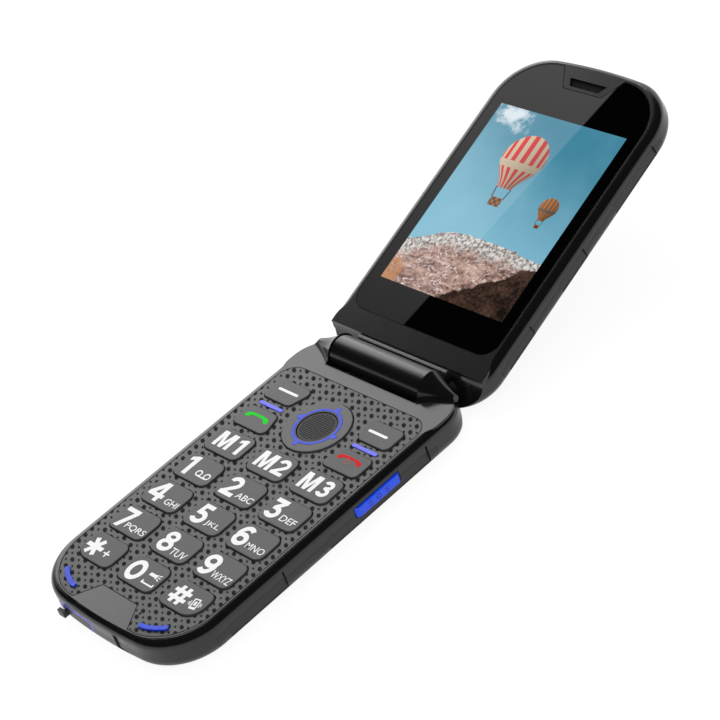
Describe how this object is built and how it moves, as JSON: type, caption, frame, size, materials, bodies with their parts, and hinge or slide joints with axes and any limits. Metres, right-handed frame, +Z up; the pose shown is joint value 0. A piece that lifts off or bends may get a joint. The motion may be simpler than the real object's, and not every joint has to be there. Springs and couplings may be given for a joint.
{
  "type": "flip phone",
  "caption": "Folding mobile phone with a large-key keypad in the base, a colour display in the lid, a barrel hinge and an emergency key on the side.",
  "frame": {"origin": "centre of the flat underside of the base, on the surface it lies on", "axes": "+X to the right of the keypad, +Y from the keypad's front end towards the hinge and the lid, +Z up, out of the keys"},
  "size_m": [0.0566, 0.1922, 0.0397],
  "materials": {
    "case": "satin dark grey moulded plastic",
    "guard": "soft black overmoulding",
    "panel": "satin dark grey with printed dots",
    "key": "satin grey with white legends",
    "accent": "glossy blue inlay",
    "glass": "glossy cover lens",
    "dark": "matte black",
    "metal": "bare steel",
    "board": "green solder mask",
    "cell": "printed film over an aluminium can",
    "panel_stack": "black display panel",
    "film": "amber film",
    "lens": "clear window"
  },
  "bodies": {
    "base": {"base_top_shell": "case", "base_bottom_shell": "case", "base_guards": "guard", "base_screws": "metal", "battery": "cell", "battery_contacts": "metal", "battery_cover": "case", "accent_bars": "accent", "corner_accents": "accent", "dome_sheet": "film", "keypad_plate": "panel", "hinge_pins": "metal", "loudspeaker": "dark", "main_board": "board", "microphone": "metal", "port_gasket": "accent", "sim_reader": "metal", "usb_socket": "metal", "vibration_motor": "metal"},
    "lid": {"lid_front_frame": "case", "lid_back_shell": "case", "lid_guards": "guard", "lid_screws": "metal", "display_glass": "glass", "display_module": "panel_stack", "display_flex": "film", "lid_board": "board", "earpiece": "dark", "earpiece_mesh": "dark", "camera_module": "dark", "camera_window": "lens", "flash_lens": "lens", "hinge_strip": "metal", "hinge_cartridge": "metal"},
    "key_1": {"key_1": "key"},
    "key_2": {"key_2": "key"},
    "key_3": {"key_3": "key"},
    "key_4": {"key_4": "key"},
    "key_5": {"key_5": "key"},
    "key_6": {"key_6": "key"},
    "key_7": {"key_7": "key"},
    "key_8": {"key_8": "key"},
    "key_9": {"key_9": "key"},
    "key_star": {"key_star": "key"},
    "key_0": {"key_0": "key"},
    "key_hash": {"key_hash": "key"},
    "key_m1": {"key_m1": "key"},
    "key_m2": {"key_m2": "key"},
    "key_m3": {"key_m3": "key"},
    "key_soft_left": {"key_soft_left": "key"},
    "key_soft_right": {"key_soft_right": "key"},
    "key_call": {"key_call": "key"},
    "key_end": {"key_end": "key"},
    "nav_gimbal": {"nav_gimbal": "metal"},
    "nav_ring": {"nav_ring": "key", "nav_ring_trim": "accent"},
    "ok_button": {"ok_button": "key"},
    "sos_button": {"sos_button": "accent"},
    "volume_key": {"volume_key": "key"},
    "port_cover": {"port_cover": "guard"}
  },
  "joints": [
    {"name": "lid_hinge", "type": "hinge", "parent": "base", "child": "lid", "pos_m": [0, 0.0464, 0.0086], "axis": [1, 0, 0], "range_deg": [0, 160.3]},
    {"name": "key_1_press", "type": "slide", "parent": "base", "child": "key_1", "axis": [0, 0, -1], "range_m": [0, 0.00025], "stiffness_N_per_m": 600},
    {"name": "key_2_press", "type": "slide", "parent": "base", "child": "key_2", "axis": [0, 0, -1], "range_m": [0, 0.00025], "stiffness_N_per_m": 600},
    {"name": "key_3_press", "type": "slide", "parent": "base", "child": "key_3", "axis": [0, 0, -1], "range_m": [0, 0.00025], "stiffness_N_per_m": 600},
    {"name": "key_4_press", "type": "slide", "parent": "base", "child": "key_4", "axis": [0, 0, -1], "range_m": [0, 0.00025], "stiffness_N_per_m": 600},
    {"name": "key_5_press", "type": "slide", "parent": "base", "child": "key_5", "axis": [0, 0, -1], "range_m": [0, 0.00025], "stiffness_N_per_m": 600},
    {"name": "key_6_press", "type": "slide", "parent": "base", "child": "key_6", "axis": [0, 0, -1], "range_m": [0, 0.00025], "stiffness_N_per_m": 600},
    {"name": "key_7_press", "type": "slide", "parent": "base", "child": "key_7", "axis": [0, 0, -1], "range_m": [0, 0.00025], "stiffness_N_per_m": 600},
    {"name": "key_8_press", "type": "slide", "parent": "base", "child": "key_8", "axis": [0, 0, -1], "range_m": [0, 0.00025], "stiffness_N_per_m": 600},
    {"name": "key_9_press", "type": "slide", "parent": "base", "child": "key_9", "axis": [0, 0, -1], "range_m": [0, 0.00025], "stiffness_N_per_m": 600},
    {"name": "key_star_press", "type": "slide", "parent": "base", "child": "key_star", "axis": [0, 0, -1], "range_m": [0, 0.00025], "stiffness_N_per_m": 600},
    {"name": "key_0_press", "type": "slide", "parent": "base", "child": "key_0", "axis": [0, 0, -1], "range_m": [0, 0.00025], "stiffness_N_per_m": 600},
    {"name": "key_hash_press", "type": "slide", "parent": "base", "child": "key_hash", "axis": [0, 0, -1], "range_m": [0, 0.00025], "stiffness_N_per_m": 600},
    {"name": "key_m1_press", "type": "slide", "parent": "base", "child": "key_m1", "axis": [0, 0, -1], "range_m": [0, 0.00025], "stiffness_N_per_m": 600},
    {"name": "key_m2_press", "type": "slide", "parent": "base", "child": "key_m2", "axis": [0, 0, -1], "range_m": [0, 0.00025], "stiffness_N_per_m": 600},
    {"name": "key_m3_press", "type": "slide", "parent": "base", "child": "key_m3", "axis": [0, 0, -1], "range_m": [0, 0.00025], "stiffness_N_per_m": 600},
    {"name": "key_soft_left_press", "type": "slide", "parent": "base", "child": "key_soft_left", "axis": [0, 0, -1], "range_m": [0, 0.00025], "stiffness_N_per_m": 600},
    {"name": "key_soft_right_press", "type": "slide", "parent": "base", "child": "key_soft_right", "axis": [0, 0, -1], "range_m": [0, 0.00025], "stiffness_N_per_m": 600},
    {"name": "key_call_press", "type": "slide", "parent": "base", "child": "key_call", "axis": [0, 0, -1], "range_m": [0, 0.00025], "stiffness_N_per_m": 600},
    {"name": "key_end_press", "type": "slide", "parent": "base", "child": "key_end", "axis": [0, 0, -1], "range_m": [0, 0.00025], "stiffness_N_per_m": 600},
    {"name": "nav_up_down", "type": "hinge", "parent": "base", "child": "nav_gimbal", "pos_m": [0, 0.0222, 0.0072], "axis": [1, 0, 0], "range_deg": [-1.5, 1.5], "stiffness_Nm_per_rad": 0.06},
    {"name": "nav_left_right", "type": "hinge", "parent": "nav_gimbal", "child": "nav_ring", "pos_m": [0, 0.0222, 0.0072], "axis": [0, 1, 0], "range_deg": [-1.5, 1.5], "stiffness_Nm_per_rad": 0.06},
    {"name": "ok_press", "type": "slide", "parent": "base", "child": "ok_button", "axis": [0, 0, -1], "range_m": [0, 0.00025], "stiffness_N_per_m": 600},
    {"name": "sos_press", "type": "slide", "parent": "base", "child": "sos_button", "axis": [-1, 0, 0], "range_m": [0, 0.0004], "stiffness_N_per_m": 600},
    {"name": "volume_rock", "type": "hinge", "parent": "base", "child": "volume_key", "pos_m": [-0.0255, 0.0194, 0.0049], "axis": [0, 0, 1], "range_deg": [-2, 2], "stiffness_Nm_per_rad": 0.06},
    {"name": "port_cover_flap", "type": "hinge", "parent": "base", "child": "port_cover", "pos_m": [-0.003, -0.05115, 0.0036], "axis": [0, 0, 1], "range_deg": [0, 95]}
  ]
}
